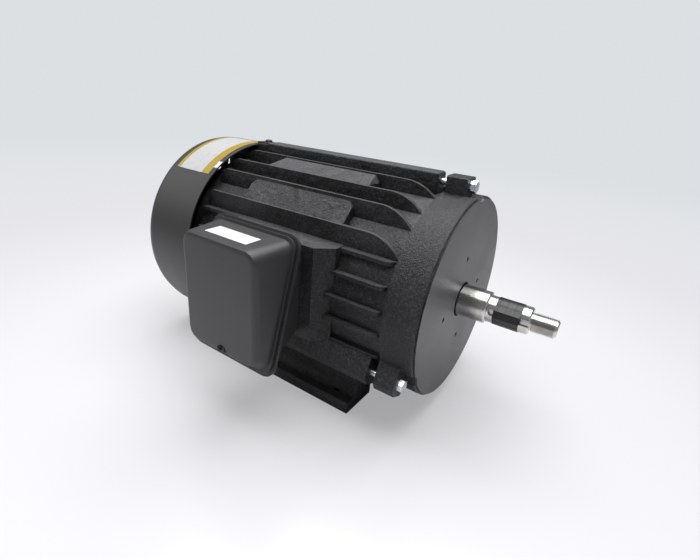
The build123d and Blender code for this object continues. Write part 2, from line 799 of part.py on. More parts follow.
def make_snap_ring():
    """Retaining ring in the bracket, open at the bottom, behind the drive-end bearing."""
    rear = drive_bearing_rear_x - snap_ring_thickness
    outer = drive_bearing_outer + snap_ring_depth - loose
    ring = round_bar(rear, drive_bearing_rear_x - fit, outer)
    ring -= round_bar(rear, drive_bearing_rear_x - fit, outer - snap_ring_width)
    return ring - Pos(rear, 0, -outer) * Box(4 * snap_ring_thickness, snap_ring_mouth, 3 * snap_ring_width)


def make_wave_spring():
    """Preload spring, pressed nearly flat between the fan-end race and its shoulder."""
    low, high = fan_shoulder_x + fit, fan_bearing_rear_x - fit
    outer = fan_bearing_outer - loose
    ring = round_bar(low, high, outer) - round_bar(low, high, outer - spring_width)
    wave = Box(spring_wave, spring_wave_length, spring_width + 2 * cut_over)
    for i in range(spring_waves):
        turn = 360 * i / spring_waves
        ring -= around(turn) * Pos(low, 0, outer - spring_width / 2) * wave
        ring -= around(turn + 180 / spring_waves) * Pos(high, 0, outer - spring_width / 2) * wave
    return ring


def make_shaft_seal():
    low, high = -face_wall + fit, -face_wall + seal_depth - fit
    lip = drive_journal_radius + seal_lip_gap
    lip_root = lip + seal_lip_height
    return turned([
        (low, seal_radius - fit), (high, seal_radius - fit), (high, lip_root),
        ((low + high) / 2, lip), (low, lip_root),
    ])


# Fan and fan cover


def make_cooling_fan():
    """Moulded radial fan that pushes on to the rear shaft end."""
    hub = round_bar(fan_hub_end_x, fan_front_x, fan_hub_radius)
    dish_x = fan_front_x - fan_dish
    plate = turned([
        (dish_x, fan_seat_radius), (dish_x, fan_hub_radius),
        (fan_front_x, fan_plate_radius), (fan_front_x - fan_plate_thickness, fan_plate_radius),
        (dish_x - fan_plate_thickness, fan_hub_radius), (dish_x - fan_plate_thickness, fan_seat_radius),
    ])
    blade_low = fan_hub_end_x
    blade_high = fan_front_x - fan_plate_thickness / 2
    outline = [
        (blade_low, 0, fan_blade_inner), (blade_low, 0, fan_blade_outer),
        (blade_high, 0, fan_blade_outer), (blade_high, 0, fan_plate_radius),
        (blade_high - fan_dish, 0, fan_hub_radius), (blade_low + fan_blade_root, 0, fan_hub_radius - cut_over),
    ]
    blade = extrude(make_face(Polyline(*outline, close=True)), amount=fan_blade_thickness, dir=(0, 1, 0))
    blade = Pos(0, -fan_blade_thickness / 2, 0) * blade
    body = hub + plate + [around(i * 360 / fan_blade_count) * blade for i in range(fan_blade_count)]
    return body - round_bar(fan_hub_end_x - cut_over, fan_front_x + cut_over, fan_seat_radius + fit)


def make_fan_clip():
    high = fan_hub_end_x - fit
    low = high - clip_thickness
    inner = fan_seat_radius - clip_groove + fit
    ring = round_bar(low, high, inner + clip_width) - round_bar(low, high, inner)
    mouth = Box(clip_thickness * 2, clip_mouth, clip_width * 2)
    return ring - Pos((low + high) / 2, 0, -inner - clip_width / 2) * mouth


def make_fan_cover():
    """Drawn sheet drum with a slotted rear wall and three fixing tabs on the bars."""
    r = cover_radius
    w = cover_wall
    c = cover_corner
    rear = cover_rear_x
    turns = [math.pi / 2 * i / cover_corner_steps for i in range(cover_corner_steps + 1)]
    outer_corner = [(rear + c - c * math.sin(t), r - c + c * math.cos(t)) for t in turns]
    inner_corner = [(rear + c - (c - w) * math.sin(t), r - c + (c - w) * math.cos(t)) for t in reversed(turns)]
    outline = [(cover_rim_x, r)] + outer_corner + [(rear, 0), (rear + w, 0)] + inner_corner
    body = turned(outline + [(cover_rim_x, r - w)])
    seat = cover_tab_seat + fit
    tab_front = bar_rear_x + cover_tab_reach
    tab_length = tab_front - cover_rim_x + w
    tab = Pos(tab_front - tab_length / 2, 0, seat + w / 2) * Box(tab_length, cover_tab_width, w)
    riser_height = seat + w - (r - w)
    riser = Pos(cover_rim_x - w / 2, 0, seat + w - riser_height / 2) * Box(w, cover_tab_width, riser_height)
    hole = Pos(bar_rear_x + cover_tab_reach / 2, 0, seat) * Cylinder(cover_screw_radius + loose, cover_tap_depth)
    for angle in bolt_angles:
        body += around(angle) * (tab + riser)
        body -= around(angle) * hole
    inner_slot = Box(4 * w, grille_slot_width, inner_slots_length)
    inner_slot = Pos(rear, 0, inner_slots_start + inner_slots_length / 2) * inner_slot
    outer_slot = Box(4 * w, grille_slot_width, outer_slots_length)
    outer_slot = Pos(rear, 0, outer_slots_start + outer_slots_length / 2) * outer_slot
    slots = [around(i * 360 / inner_slot_count) * inner_slot for i in range(inner_slot_count)]
    slots += [around(i * 360 / outer_slot_count) * outer_slot for i in range(outer_slot_count)]
    return body - slots


def make_fan_cover_screws():
    group = []
    for angle in bolt_angles:
        screw = pan_screw(cover_screw_radius, cover_screw_length, m4_head_radius, m4_head)
        seat = cover_tab_seat + cover_wall + 2 * fit
        group.append(around(angle) * Pos(bar_rear_x + cover_tab_reach / 2, 0, seat) * screw)
    return Compound(group)


# Fasteners of the end brackets


def make_drive_end_bolts():
    length = lug_front_x + m6_washer - bar_front_x + bolt_engagement - bolt_end_gap
    group = []
    for angle in bolt_angles:
        bolt = Rot(0, 90, 0) * hex_screw(m6_radius, length, m6_flats, m6_head)
        group.append(around(angle) * Pos(lug_front_x + m6_washer + 2 * fit, 0, bolt_circle_radius) * bolt)
    return Compound(group)


def make_drive_end_washers():
    group = []
    low, high = lug_front_x + fit, lug_front_x + m6_washer + fit
    for angle in bolt_angles:
        washer = round_bar(low, high, m6_washer_radius) - round_bar(low, high, m6_radius + loose / 2)
        split = Box(2 * m6_washer, lock_split, m6_washer_radius)
        washer -= Pos((low + high) / 2, 0, m6_washer_radius) * Rot(25, 0, 0) * split
        group.append(around(angle) * Pos(0, 0, bolt_circle_radius) * washer)
    return Compound(group)


def make_fan_end_screws():
    plate_rear = frame_rear_x - fan_bracket_wall
    length = fan_bracket_wall + bolt_engagement - bolt_end_gap
    group = []
    for angle in fan_bracket_screw_angles():
        screw = Rot(0, -90, 0) * hex_screw(m6_radius, length, m6_flats, m6_head)
        place = Pos(plate_rear - fit, 0, (barrel_radius + stator_seat_radius) / 2)
        group.append(around(angle) * place * screw)
    return Compound(group)


# Terminal box


def parting_plane(shift):
    """Slanted plane where cover and base meet, moved outwards by shift."""
    tilt = math.radians(parting_tilt)
    normal = (0, -math.cos(tilt), math.sin(tilt))
    origin = (box_x, -parting_y + normal[1] * shift, box_z + normal[2] * shift)
    return Plane(origin=origin, x_dir=(1, 0, 0), z_dir=normal)


def upright_plane(depth):
    """Plane parallel to the frame's pad, depth out from the shaft axis."""
    return Plane(origin=(box_x, -depth, box_z), x_dir=(1, 0, 0), z_dir=(0, -1, 0))


def front_plane(depth):
    """Plane parallel to the pad, centred on the cover's front."""
    return Plane(origin=(box_x + box_front_ahead, -depth, box_z + box_front_rise), x_dir=(1, 0, 0), z_dir=(0, -1, 0))


def rounded(plane, width, height, corner):
    """Rectangle on a plane, its corners turned in short straight steps."""
    points = []
    for turn, i, k in ((0, 1, 1), (90, -1, 1), (180, -1, -1), (270, 1, -1)):
        for step in range(box_corner_steps + 1):
            angle = math.radians(turn + 90 * step / box_corner_steps)
            x = i * (width / 2 - corner) + corner * math.cos(angle)
            y = k * (height / 2 - corner) + corner * math.sin(angle)
            points.append((x, y))
    return plane * make_face(Polyline(*points, close=True))


def bored(x, y, z, radius, depth):
    """Round cutter into the box wall at (x, z), depth to each side of y."""
    return Pos(x, -y, z) * Rot(90, 0, 0) * Cylinder(radius, 2 * depth)


def shell_loft(sections):
    """Solid through rounded rectangles: (plane, width, height, corner) each."""
    return loft([rounded(*section) for section in sections], ruled=True)


def make_box_base():
    w = box_wall
    outer = shell_loft([
        (upright_plane(box_back_y), box_back_width, box_back_height, box_corner),
        (parting_plane(0), parting_width, parting_height, box_corner),
    ])
    inner = shell_loft([
        (upright_plane(box_back_y + w), box_back_width - 2 * w, box_back_height - 2 * w, box_corner - w),
        (parting_plane(cut_over), parting_width - 2 * w, parting_height - 2 * w, box_corner - w),
    ])
    body = outer - inner
    lip = rounded(parting_plane(0), parting_width + 2 * flange_lip, parting_height + 2 * flange_lip, box_corner + w)
    ring = extrude(lip, amount=-flange_thickness)
    opening = rounded(parting_plane(cut_over), parting_width - 2 * w, parting_height - 2 * w, box_corner - w)
    ring -= extrude(opening, amount=-flange_thickness - 2 * cut_over)
    body += ring
    boss_rise = (screw_pocket_z - box_z) / math.cos(math.radians(parting_tilt)) - screw_boss_drop
    boss = parting_plane(0) * Pos(screw_pocket_ahead, boss_rise) * Rectangle(screw_boss_width, screw_boss_width)
    body += extrude(boss, amount=-screw_boss_depth) & outer
    collar_z = box_z - parting_height / 2 + conduit_rise
    collar = Pos(box_x, -conduit_y, collar_z) * Cylinder(conduit_radius + conduit_collar, conduit_collar_length)
    body += collar
    body -= Pos(box_x, -conduit_y, collar_z) * Cylinder(conduit_radius, conduit_collar_length + 2 * w)
    body -= bored(box_x, box_back_y, lead_hole_z, lead_hole_radius, 2 * w)
    for x, z in box_screw_places():
        body -= bored(x, box_back_y, z, m5_radius + loose, 2 * w)
    ground_x, ground_z = ground_screw_place()
    body -= bored(ground_x, box_back_y, ground_z, m5_radius + thread_gap, 2 * w)
    return body - bored(screw_pocket_x, cover_screw_y, screw_pocket_z, m4_radius + thread_gap, box_tap_depth)


def make_box_gasket():
    sheet = rounded(upright_plane(box_pad_y + fit), box_back_width, box_back_height, box_corner)
    plate = extrude(sheet, amount=gasket - 2 * fit)
    plate -= bored(box_x, box_pad_y, lead_hole_z, lead_hole_radius, 2 * gasket)
    for x, z in box_screw_places():
        plate -= bored(x, box_pad_y, z, m5_radius + loose, 2 * gasket)
    return plate


def make_cover_gasket():
    outer = rounded(parting_plane(fit), parting_width, parting_height, box_corner)
    ring = extrude(outer, amount=cover_gasket_thickness - 2 * fit)
    w = cover_gasket_width
    inner = rounded(parting_plane(-cut_over), parting_width - 2 * w, parting_height - 2 * w, box_corner - w)
    ring -= extrude(inner, amount=cover_gasket_thickness + 2 * cut_over)
    return ring - bored(screw_pocket_x, cover_screw_y, screw_pocket_z, m4_radius + loose, box_tap_depth)


def make_box_cover():
    """Drawn cover: drafted sides, rounded corners, and one sunk fixing screw."""
    w = box_wall
    r = box_front_round
    start = cover_gasket_thickness
    width, height = box_front_width, box_front_height
    outer = shell_loft([
        (parting_plane(start), parting_width, parting_height, box_corner),
        (front_plane(box_front_y - r), width, height, box_corner + w),
        (front_plane(box_front_y - r * 0.3), width - r * 0.6, height - r * 0.6, box_corner + w / 2),
        (front_plane(box_front_y), width - 2 * r, height - 2 * r, box_corner - w),
    ])
    inner = shell_loft([
        (parting_plane(start - cut_over), parting_width - 2 * w, parting_height - 2 * w, box_corner - w),
        (front_plane(box_front_y - r), width - 2 * w, height - 2 * w, box_corner),
        (front_plane(box_front_y - w), width - 2 * r - w, height - 2 * r - w, box_corner - 1.5 * w),
    ])
    body = outer - inner
    lip = rounded(parting_plane(start), parting_width + flange_lip, parting_height + flange_lip, box_corner + w / 2)
    ring = extrude(lip, amount=box_wall)
    opening = rounded(parting_plane(start - cut_over), parting_width - 2 * w, parting_height - 2 * w, box_corner - w)
    body += ring - extrude(opening, amount=box_wall + 2 * cut_over)
    floor_y = box_front_y - screw_pocket_depth
    depth = box_front_y - parting_y
    sleeve = Pos(screw_pocket_x, -box_front_y + depth / 2, screw_pocket_z) * Rot(90, 0, 0)
    sleeve = sleeve * Cylinder(screw_pocket_radius + screw_pocket_wall, depth)
    over = extrude(parting_plane(start) * Rectangle(2 * parting_width, 2 * parting_height), amount=2 * depth)
    body += sleeve & outer & over
    pocket_y = floor_y + 2 * screw_pocket_depth
    body -= bored(screw_pocket_x, pocket_y, screw_pocket_z, screw_pocket_radius, 2 * screw_pocket_depth)
    return body - bored(screw_pocket_x, cover_screw_y, screw_pocket_z, m4_radius + loose, box_tap_depth)


def make_cover_screw():
    floor_y = box_front_y - screw_pocket_depth
    screw = pan_screw(m4_radius, box_cover_screw_length, m4_head_radius, m4_head)
    return Pos(screw_pocket_x, -floor_y - fit, screw_pocket_z) * Rot(90, 0, 0) * screw


def make_box_screws():
    group = []
    for x, z in box_screw_places():
        screw = pan_screw(m5_radius, mount_screw_length, m5_head_radius, m5_head)
        group.append(Pos(x, -box_back_y - box_wall - fit, z) * Rot(90, 0, 0) * screw)
    return Compound(group)


def ground_screw_place():
    return box_x + mount_screw_spacing_x / 2, box_z


def make_ground_screw():
    x, z = ground_screw_place()
    screw = pan_screw(m5_radius, box_wall, m5_head_radius, m5_head)
    return Pos(x, -box_back_y - box_wall - fit, z) * Rot(90, 0, 0) * screw


def terminal_places():
    pitch = block_width / 3
    return [(box_x + i * pitch, block_z + k * post_rise) for i in (-1, 0, 1) for k in (-1, 1)]


def make_terminal_block():
    """Moulded board with raised barriers between its six posts."""
    back = box_back_y + box_wall + fit
    board = Pos(box_x, -back - block_height / 2, block_z) * Box(block_width, block_height, block_depth)
    barrier = Box(block_rib, block_height + 2 * barrier_rise, block_depth)
    for i in (-1.5, -0.5, 0.5, 1.5):
        inset = math.copysign(block_rib / 2, -i) if abs(i) > 1 else 0.0
        x = box_x + i * block_width / 3 + inset
        board += Pos(x, -back - block_height / 2 - barrier_rise, block_z) * barrier
    return board


def make_terminal_studs():
    """Brass posts with their nuts, two rows of three."""
    front = box_back_y + box_wall + 2 * fit + block_height
    group = []
    for x, z in terminal_places():
        post = bored(x, front + post_length / 2, z, m4_radius, post_length / 2)
        nut = Pos(x, -front, z) * Rot(90, 0, 0) * extrude(RegularPolygon(m4_nut_radius, 6), m4_nut)
        group.append(post + nut)
    return Compound(group)


def make_lead_bundle():
    """Sleeved motor leads between the winding and the terminal box."""
    start = stator_seat_radius - lead_inset
    end = box_back_y + box_wall + lead_reach
    sleeve = bored(box_x, (start + end) / 2, lead_hole_z, lead_radius, (end - start) / 2)
    return sleeve - round_bar(frame_rear_x, seam_x, stator_seat_radius + cut_over)


def make_lead_grommet():
    front = box_back_y + box_wall + grommet_lip
    middle = (box_back_y + front) / 2
    collar_y = front - grommet_lip / 2 + fit
    ring = bored(box_x, middle, lead_hole_z, lead_hole_radius - 2 * thread_gap, (front - box_back_y) / 2)
    ring += bored(box_x, collar_y, lead_hole_z, lead_hole_radius + grommet_lip, grommet_lip / 2)
    return ring - bored(box_x, middle, lead_hole_z, lead_radius + 2 * thread_gap, front - box_back_y)


drive_outer, drive_inner, drive_balls = make_bearing(
    drive_bearing_x, drive_journal_radius, drive_bearing_outer, drive_bearing_width, drive_ball_radius, drive_ball_count)
fan_outer, fan_inner, fan_balls = make_bearing(
    fan_bearing_x, rear_journal_radius, fan_bearing_outer, fan_bearing_width, fan_ball_radius, fan_ball_count)

parts = {
    "frame": make_frame(),
    "drive_end_bracket": make_drive_end_bracket(),
    "fan_end_bracket": make_fan_end_bracket(),
    "stator_core": make_stator_core(),
    "stator_winding": make_stator_winding(),
    "rotor_core": make_rotor_core(),
    "rotor_cage": make_rotor_cage(),
    "shaft": make_shaft(),
    "shaft_key": make_shaft_key(),
    "key_tape": make_key_tape(),
    "drive_bearing_outer_race": drive_outer,
    "drive_bearing_inner_race": drive_inner,
    "drive_bearing_balls": drive_balls,
    "fan_bearing_outer_race": fan_outer,
    "fan_bearing_inner_race": fan_inner,
    "fan_bearing_balls": fan_balls,
    "bearing_snap_ring": make_snap_ring(),
    "wave_spring": make_wave_spring(),
    "shaft_seal": make_shaft_seal(),
    "drive_end_bolts": make_drive_end_bolts(),
    "drive_end_washers": make_drive_end_washers(),
    "fan_end_screws": make_fan_end_screws(),
    "cooling_fan": make_cooling_fan(),
    "fan_clip": make_fan_clip(),
    "fan_cover": make_fan_cover(),
    "fan_cover_screws": make_fan_cover_screws(),
    "conduit_box_base": make_box_base(),
    "conduit_box_gasket": make_box_gasket(),
    "conduit_box_cover": make_box_cover(),
    "cover_gasket": make_cover_gasket(),
    "cover_screw": make_cover_screw(),
    "box_mounting_screws": make_box_screws(),
    "ground_screw": make_ground_screw(),
    "terminal_block": make_terminal_block(),
    "terminal_studs": make_terminal_studs(),
    "lead_bundle": make_lead_bundle(),
    "lead_grommet": make_lead_grommet(),
}

os.makedirs("parts", exist_ok=True)
for name, shape in parts.items():
    export_step(shape, f"parts/{name}.step")
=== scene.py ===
import bpy
import bmesh
import math
from mathutils import Matrix, Vector


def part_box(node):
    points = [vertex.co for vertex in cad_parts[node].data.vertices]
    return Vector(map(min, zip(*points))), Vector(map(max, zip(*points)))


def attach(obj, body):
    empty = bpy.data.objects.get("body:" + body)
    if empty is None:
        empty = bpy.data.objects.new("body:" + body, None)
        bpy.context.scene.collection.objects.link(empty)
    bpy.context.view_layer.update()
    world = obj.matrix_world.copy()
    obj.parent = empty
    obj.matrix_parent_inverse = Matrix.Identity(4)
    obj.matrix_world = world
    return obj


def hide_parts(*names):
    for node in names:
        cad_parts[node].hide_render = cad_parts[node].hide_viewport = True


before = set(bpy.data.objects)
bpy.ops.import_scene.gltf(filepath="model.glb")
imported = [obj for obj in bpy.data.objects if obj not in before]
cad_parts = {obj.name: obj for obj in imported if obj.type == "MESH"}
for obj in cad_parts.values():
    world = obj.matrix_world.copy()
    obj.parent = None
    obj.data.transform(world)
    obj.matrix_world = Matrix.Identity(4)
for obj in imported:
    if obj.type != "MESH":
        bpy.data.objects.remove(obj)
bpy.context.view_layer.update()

# Camera. Its place, aim and angle of view are those of the photograph, found from the
# drive-end face, the fan cover's rim, the shaft and the tie-bolt bars. The drive-end face
# centre is the origin, so its place is given straight in the motor's own frame.
camera_place = (0.10198, -0.36289, 0.16662)
camera_azimuth, camera_elevation, camera_roll = math.radians(32.115), math.radians(23.545), math.radians(5.168)
camera_focal = 420.78
picture_width = 700

bpy.ops.object.select_all(action="DESELECT")
back = Vector((
    math.sin(camera_azimuth) * math.cos(camera_elevation),
    -math.cos(camera_azimuth) * math.cos(camera_elevation),
    math.sin(camera_elevation),
))
level = Vector((math.cos(camera_azimuth), math.sin(camera_azimuth), 0.0))
upward = back.cross(level)
right = math.cos(camera_roll) * level + math.sin(camera_roll) * upward
up = math.cos(camera_roll) * upward - math.sin(camera_roll) * level
bpy.ops.object.camera_add(location=camera_place)
camera = bpy.context.object
camera.matrix_world = Matrix.Translation(camera_place) @ Matrix((right, up, back)).transposed().to_4x4()
camera.data.sensor_fit = "HORIZONTAL"
camera.data.sensor_width = 36.0
camera.data.lens = camera_focal / picture_width * camera.data.sensor_width
camera.data.clip_start = 0.01
bpy.context.scene.camera = camera
bpy.context.scene.view_settings.view_transform = "Standard"


# Floor. A large pale sheet, a little glossy, that keeps a soft shadow and a faint
# reflection near the motor. Further out it turns into the same even paper tone as the
# surround, so that no horizon shows.
floor_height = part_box("frame")[0].z
floor_half = 8.0
floor_middle = (-0.12, -0.02)
floor_colour = (0.79, 0.79, 0.81, 1.0)
paper_near = (0.795, 0.795, 0.825, 1.0)
paper_far = (0.715, 0.742, 0.758, 1.0)
paper_share = 0.45


class Wire:
    """A value in a material. Adding, multiplying and the like put Math nodes behind it."""

    def __init__(self, paint, socket):
        self.paint = paint
        self.socket = socket

    def math(self, operation, first, second=0.0):
        return self.paint.add("Math", {0: first, 1: second}, operation=operation)

    def __add__(self, other):
        return self.math("ADD", self, other)

    def __radd__(self, other):
        return self.math("ADD", other, self)

    def __sub__(self, other):
        return self.math("SUBTRACT", self, other)

    def __rsub__(self, other):
        return self.math("SUBTRACT", other, self)

    def __mul__(self, other):
        return self.math("MULTIPLY", self, other)

    def __rmul__(self, other):
        return self.math("MULTIPLY", other, self)

    def __truediv__(self, other):
        return self.math("DIVIDE", self, other)

    def __pow__(self, other):
        return self.math("POWER", self, other)

    def __gt__(self, other):
        return self.math("GREATER_THAN", self, other)

    def __lt__(self, other):
        return self.math("LESS_THAN", self, other)

    def sine(self):
        return self.math("SINE", self)

    def root(self):
        return self.math("SQRT", self)

    def largest(self, other):
        return self.math("MAXIMUM", self, other)


class Paint:
    """A material being mixed. set() fixes sockets of its shader, add() puts in one node."""

    def __init__(self, owner):
        self.material = owner if isinstance(owner, bpy.types.ID) else bpy.data.materials.new(owner)
        self.material.use_nodes = True
        self.tree = self.material.node_tree
        self.shader = self.tree.nodes.get("Principled BSDF")

    def feed(self, socket, value):
        if isinstance(value, Wire):
            self.tree.links.new(value.socket, socket)
        else:
            socket.default_value = value

    def set(self, **values):
        for name, value in values.items():
            self.feed(self.shader.inputs[name.replace("_", " ")], value)
        return self

    def add(self, kind, inputs, output=0, **settings):
        node = self.tree.nodes.new("ShaderNode" + kind)
        for name, value in settings.items():
            setattr(node, name, value)
        for name, value in inputs.items():
            self.feed(node.inputs[name], value)
        return Wire(self, node.outputs[output])

    def object_place(self):
        return self.add("TexCoord", {}, "Object")

    def axis(self, name):
        return self.add("SeparateXYZ", {"Vector": self.object_place()}, name)

    def from_shaft(self):
        y, z = self.axis("Y"), self.axis("Z")
        return (y * y + z * z).root()

    def noise(self, scale, detail=3.0, roughness=0.55, stretch=(1.0, 1.0, 1.0)):
        place = self.add("Mapping", {"Vector": self.object_place(), "Scale": stretch})
        return self.add("TexNoise", {"Vector": place, "Scale": scale, "Detail": detail, "Roughness": roughness})

    def within(self, value, low, high, low_to=0.0, high_to=1.0):
        inputs = {"Value": value, "From Min": low, "From Max": high, "To Min": low_to, "To Max": high_to}
        return self.add("MapRange", inputs, clamp=True)

    def mix(self, mask, first, second):
        return self.add("Mix", {0: mask, 6: first, 7: second}, 2, data_type="RGBA")

    def bump(self, height, depth, under=None):
        inputs = {"Height": height, "Distance": depth, "Strength": 1.0}
        if under:
            inputs["Normal"] = under
        return self.add("Bump", inputs)


bpy.ops.mesh.primitive_grid_add(x_subdivisions=4, y_subdivisions=4, size=2 * floor_half)
floor = bpy.context.object
floor.name = "floor"
bpy.ops.object.mode_set(mode="EDIT")
bpy.ops.transform.translate(value=(0.0, 0.0, floor_height))
bpy.ops.object.mode_set(mode="OBJECT")
floor_paint = Paint("studio_floor").set(Base_Color=floor_colour, Roughness=0.25)
across = floor_paint.axis("X") - floor_middle[0]
along = floor_paint.axis("Y") - floor_middle[1]
distance = (across * across + along * along).root()
seen = floor_paint.add("LightPath", {}, "Is Camera Ray")
paper = floor_paint.mix(floor_paint.within(distance, 0.7, 2.2), paper_near, paper_far)
glow = floor_paint.add("Emission", {"Color": paper, "Strength": 1.0})
fade = floor_paint.within(distance, 0.34, 0.80, paper_share, 1.0) * seen
lit = Wire(floor_paint, floor_paint.shader.outputs[0])
shown = floor_paint.add("MixShader", {0: fade, 1: lit, 2: glow})
floor_paint.feed(floor_paint.tree.nodes["Material Output"].inputs["Surface"], shown)
floor.data.materials.append(floor_paint.material)


# Studio light. A broad bank overhead, a softer one at the left and a weak one at the drive
# end. The surround gives little light itself, and shows as pale paper to the camera and in
# the gloss.
bank_sizes = {"overhead": 1.5, "left": 1.1, "drive_end": 0.9}
bank_powers = {"overhead": 38.0, "left": 4.5, "drive_end": 0.5}
bank_places = {"overhead": (-0.15, 0.10, 1.35), "left": (-1.2, -0.6, 0.8), "drive_end": (1.1, -0.2, 0.6)}
bank_target = Vector((-0.12, 0.0, 0.0))
surround_strength = 0.12
surround_gloss = 0.34

for bank, place in bank_places.items():
    bpy.ops.object.light_add(type="AREA", location=place)
    lamp = bpy.context.object
    lamp.name = bank
    lamp.data.shape = "SQUARE"
    lamp.data.size = bank_sizes[bank]
    lamp.data.energy = bank_powers[bank]
    lamp.rotation_euler = (bank_target - Vector(place)).to_track_quat("-Z", "Y").to_euler()
surround = bpy.context.scene.world or bpy.data.worlds.new("surround")
bpy.context.scene.world = surround
air = Paint(surround)
for spare in list(air.tree.nodes):
    air.tree.nodes.remove(spare)
camera_ray = air.add("LightPath", {}, "Is Camera Ray")
gloss_ray = air.add("LightPath", {}, "Is Glossy Ray").largest(air.add("LightPath", {}, "Is Transmission Ray"))
strength = surround_strength + gloss_ray * (surround_gloss - surround_strength)
strength = strength + camera_ray * (1.0 - surround_strength)
paper_air = air.add("Background", {"Color": paper_far, "Strength": strength})
world_out = air.tree.nodes.new("ShaderNodeOutputWorld")
air.feed(world_out.inputs["Surface"], paper_air)


# Frame casting. Grey iron, sand cast, with the fins, tie-bolt bars, terminal-box boss and
# feet in one piece. It is dipped in black enamel, which rounds the edges and leaves the
# sand grain showing.
enamel_black = (0.0075, 0.0075, 0.0085, 1.0)
# The lighter enamel tone below is dust on the grain crests; on the frame casting it also carries painted top
# light.
enamel_light_grey = (0.075, 0.075, 0.080, 1.0)
grain_scale = 1150.0
casting_edge = 0.0007


def cast_copy(node, name, width, angle=35.0):
    """The node's own shape with its joined faces merged and its edges rounded."""
    bpy.ops.object.select_all(action="DESELECT")
    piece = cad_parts[node].copy()
    piece.data = piece.data.copy()
    piece.parent = None
    piece.name = name
    piece.data.materials.clear()
    bpy.context.scene.collection.objects.link(piece)
    piece.select_set(True)
    bpy.context.view_layer.objects.active = piece
    bpy.ops.object.mode_set(mode="EDIT")
    bpy.ops.mesh.select_all(action="SELECT")
    bpy.ops.mesh.remove_doubles(threshold=0.000002)
    bpy.ops.mesh.dissolve_limited(angle_limit=math.radians(1.0))
    bpy.ops.object.mode_set(mode="OBJECT")
    edge = piece.modifiers.new("edge", "BEVEL")
    edge.width, edge.segments, edge.limit_method = width, 2, "ANGLE"
    edge.angle_limit = math.radians(angle)
    bpy.ops.object.modifier_apply(modifier="edge")
    bpy.ops.object.shade_smooth_by_angle(angle=math.radians(38.0))
    flat = piece.modifiers.new("flat_faces", "WEIGHTED_NORMAL")
    flat.keep_sharp = True
    bpy.ops.object.modifier_apply(modifier="flat_faces")
    return piece


def sand_grain(paint):
    """Height of the sand-cast skin under enamel: close grain on soft lumps."""
    return 0.62 * paint.noise(grain_scale, 3.0, 0.62) + 0.38 * paint.noise(grain_scale * 0.42, 2.0, 0.5)


def enamel(name, crest_low, crest_high):
    """Black enamel over cast iron, greyer on the crests of the grain, and greyer on faces that look upward,
    which is painted top light.
    """
    paint = Paint(name)
    grain = sand_grain(paint)
    lumps = paint.noise(95.0, 2.0)
    cloud = paint.noise(24.0, 3.0)
    # Faces that look upward are made greyer: painted top light, standing in for the overhead lamps.
    facing_up = paint.add("SeparateXYZ", {"Vector": paint.add("NewGeometry", {}, "Normal")}, "Z")
    painted_top_light = paint.within(facing_up, 0.45, 0.95, 0.0, 0.14)
    crest_and_painted_top_light = paint.within(grain + 0.25 * cloud + painted_top_light, crest_low, crest_high)
    rough = paint.within(0.5 * grain + 0.5 * cloud, 0.35, 0.65, 0.28, 0.46)
    relief = paint.bump(grain, 0.0012, paint.bump(lumps, 0.0020))
    paint.set(Base_Color=paint.mix(crest_and_painted_top_light, enamel_black, enamel_light_grey), Roughness=rough, Normal=relief)
    return paint.set(Specular_IOR_Level=0.42)


def finish_piece(piece, body, node, paint):
    """Give a piece its paint and its body, and hide the node it stands in for."""
    piece.data.materials.append(paint.material)
    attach(piece, body)
    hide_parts(node)


casting_paint = enamel("black_enamel_sand_cast", 0.60, 0.82)
casting = cast_copy("frame", "frame_casting", casting_edge)
finish_piece(casting, "stator", "frame", casting_paint)


# Drive-end bracket. Cast iron with a rough enamelled band and lugs. Its front is turned
# flat and smooth, then sprayed in the same black; its grey is painted reflection of the pale surround, so that
# it looks grey and satin.
turned_face_x = -0.0018
turned_face_radius = 0.0948
# The turned face's two tones are painted reflection of the pale surround, lighter than the black paint; a cloud
# mixes them at random.
face_grey_painted_reflection = (0.082, 0.082, 0.088, 1.0)
face_worn_painted_reflection = (0.100, 0.100, 0.107, 1.0)

bracket_paint = Paint("black_enamel_turned_face")
face_mask = (bracket_paint.axis("X") > turned_face_x) * (bracket_paint.from_shaft() < turned_face_radius)
band_grain = sand_grain(bracket_paint)
band_cloud = bracket_paint.noise(24.0, 3.0)
band_crest = bracket_paint.within(band_grain + 0.25 * band_cloud, 0.58, 0.82)
face_cloud = bracket_paint.within(bracket_paint.noise(30.0, 4.0), 0.35, 0.7)
tool_lines = (bracket_paint.from_shaft() * 9000.0).sine()
band_colour = bracket_paint.mix(band_crest, enamel_black, enamel_light_grey)
# The turned face's colour: painted reflection, varied at random.
face_colour = bracket_paint.mix(face_cloud, face_grey_painted_reflection, face_worn_painted_reflection)
band_rough = bracket_paint.within(0.5 * band_grain + 0.5 * band_cloud, 0.35, 0.65, 0.28, 0.46)
face_rough = bracket_paint.within(face_cloud, 0.0, 1.0, 0.40, 0.50)
band_height = band_grain * (1.0 - face_mask)
face_height = (tool_lines * 0.012 + 0.05 * bracket_paint.noise(2400.0, 2.0)) * face_mask
bracket_relief = bracket_paint.bump(band_height + face_height, 0.0012)
bracket_paint.set(
    Base_Color=bracket_paint.mix(face_mask, band_colour, face_colour),
    Roughness=band_rough + face_mask * (face_rough - band_rough),
    Normal=bracket_relief,
    Specular_IOR_Level=0.42,
)
bracket = cast_copy("drive_end_bracket", "drive_end_bracket_dressed", 0.0006)
finish_piece(bracket, "stator", "drive_end_bracket", bracket_paint)


# Fan-end bracket. The same casting and enamel, with no turned front. It is hidden inside
# the fan cover and seen a little through its slots.
def dress(paint, *nodes):
    """Put a paint on CAD nodes whose shape stays as it is."""
    for node in nodes:
        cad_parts[node].data.materials.clear()
        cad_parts[node].data.materials.append(paint.material)


dress(casting_paint, "fan_end_bracket")


# Tie bolts, washers and box screws. Steel, rolled and bright zinc plated, a little
# blue, with faint clouding where the plating is thinner.
zinc_blue = (0.66, 0.70, 0.74, 1.0)
zinc_dull = (0.46, 0.48, 0.50, 1.0)

